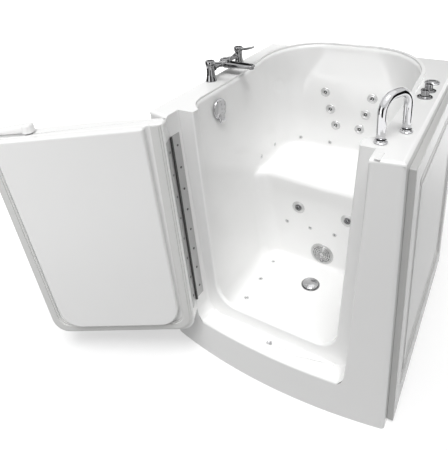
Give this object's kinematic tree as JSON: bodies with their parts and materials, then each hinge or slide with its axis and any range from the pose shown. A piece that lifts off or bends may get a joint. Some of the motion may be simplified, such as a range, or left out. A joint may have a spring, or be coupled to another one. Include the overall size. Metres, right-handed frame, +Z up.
{
  "type": "walk-in bathtub",
  "caption": "Seated walk-in bathtub with a bowed front, a tapered outward-swinging door on a continuous hinge, back and riser jets, a two-lever tap, a grab bar and a pop-up waste.",
  "frame": {"origin": "on the floor, at the middle of the centre levelling foot, below the centre of the tub", "axes": "+X to the right seen from the front, +Y from the door side to the back, +Z up; the bowed front with the door faces -Y"},
  "size_m": [1.3472, 1.2036, 1.104],
  "materials": {
    "shell": "polished white gelcoat",
    "panel": "smooth white moulded panel",
    "handle": "smooth white moulded lever",
    "seal": "soft white seal",
    "steel": "brushed stainless",
    "chrome": "bright polished",
    "brass": "plain machined",
    "frame": "powder coated",
    "rubber": "black rubber pads",
    "plastic_grey": "moulded grey",
    "pipe": "white pipe",
    "motor": "black painted"
  },
  "bodies": {
    "tub": {"tub_basin": "shell", "front_apron": "shell", "side_panel": "panel", "panel_clips": "steel", "support_frame": "frame", "levelling_feet": "rubber", "foot_nuts": "steel", "hinge_jamb_leaf": "steel", "hinge_pin": "steel", "jamb_screws": "steel", "latch_keeper": "steel", "keeper_screws": "steel", "tap_valves": "chrome", "tap_bridge": "chrome", "tap_aerator": "chrome", "tap_nuts": "brass", "grab_bar": "chrome", "grab_bar_plates": "chrome", "grab_bar_nuts": "steel", "button_collar": "chrome", "regulator_bases": "chrome", "control_bodies": "plastic_grey", "drain_flange": "chrome", "waste_pipes": "pipe", "overflow_body": "pipe", "sill_drain": "chrome", "back_jets": "chrome", "jet_bodies": "plastic_grey", "jet_rings": "chrome", "air_jets": "chrome", "suction_cover": "chrome", "suction_body": "plastic_grey", "pump": "motor", "blower": "motor", "control_box": "plastic_grey", "water_pipes": "pipe", "air_pipes": "pipe"},
    "door": {"door_outer": "shell", "door_inner": "shell", "door_seal": "seal", "door_stiffeners": "steel", "hinge_door_leaf": "steel", "door_screws": "steel", "latch_bush": "plastic_grey"},
    "latch": {"latch_lever": "handle"},
    "tap_lever_front": {"lever_left": "chrome"},
    "tap_lever_rear": {"lever_right": "chrome"},
    "overflow_turn_plate": {"overflow_knob": "chrome"},
    "stopper": {"drain_stopper": "chrome"},
    "push_button": {"air_button": "chrome"},
    "air_knob_front": {"regulator_front": "chrome"},
    "air_knob_rear": {"regulator_rear": "chrome"},
    "left_eye": {"eye_left": "plastic_grey"},
    "right_eye": {"eye_right": "plastic_grey"}
  },
  "joints": [
    {"name": "door_swing", "type": "hinge", "parent": "tub", "child": "door", "pos_m": [-0.3175, -0.4549, 0.965], "axis": [-0.0516, 0.008, 0.9986], "range_deg": [0, 155.9]},
    {"name": "latch_swing", "type": "hinge", "parent": "door", "child": "latch", "pos_m": [-0.73275, -0.66541, 0.91722], "axis": [-0.1019, -0.0058, 0.9948], "range_deg": [0, 75]},
    {"name": "tap_front_turn", "type": "hinge", "parent": "tub", "child": "tap_lever_front", "pos_m": [-0.378, -0.1195, 1.025], "axis": [0, 0, 1], "range_deg": [-90, 0]},
    {"name": "tap_rear_turn", "type": "hinge", "parent": "tub", "child": "tap_lever_rear", "pos_m": [-0.378, 0.0855, 1.025], "axis": [0, 0, 1], "range_deg": [0, 90]},
    {"name": "overflow_turn", "type": "hinge", "parent": "tub", "child": "overflow_turn_plate", "pos_m": [-0.31323, -0.1815, 0.886], "axis": [0.9994, 0, 0.035], "range_deg": [0, 90]},
    {"name": "stopper_lift", "type": "slide", "parent": "tub", "child": "stopper", "axis": [0, 0, 1], "range_m": [0, 0.008]},
    {"name": "button_press", "type": "slide", "parent": "tub", "child": "push_button", "axis": [0, 0, -1], "range_m": [0, 0.003], "stiffness_N_per_m": 600},
    {"name": "air_front_turn", "type": "hinge", "parent": "tub", "child": "air_knob_front", "pos_m": [0.364, 0.0085, 0.971], "axis": [0, 0, 1], "range_deg": [0, 120]},
    {"name": "air_rear_turn", "type": "hinge", "parent": "tub", "child": "air_knob_rear", "pos_m": [0.364, 0.0695, 0.971], "axis": [0, 0, 1], "range_deg": [0, 120]},
    {"name": "left_eye_tilt", "type": "hinge", "parent": "tub", "child": "left_eye", "pos_m": [-0.108, 0.0665, 0.365], "axis": [1, 0, 0], "range_deg": [-12, 12]},
    {"name": "right_eye_tilt", "type": "hinge", "parent": "tub", "child": "right_eye", "pos_m": [0.108, 0.0665, 0.365], "axis": [1, 0, 0], "range_deg": [-12, 12]}
  ],
  "couplings": [
    {"joint": "stopper_lift", "follows": "overflow_turn", "m_per_rad": 0.005}
  ]
}
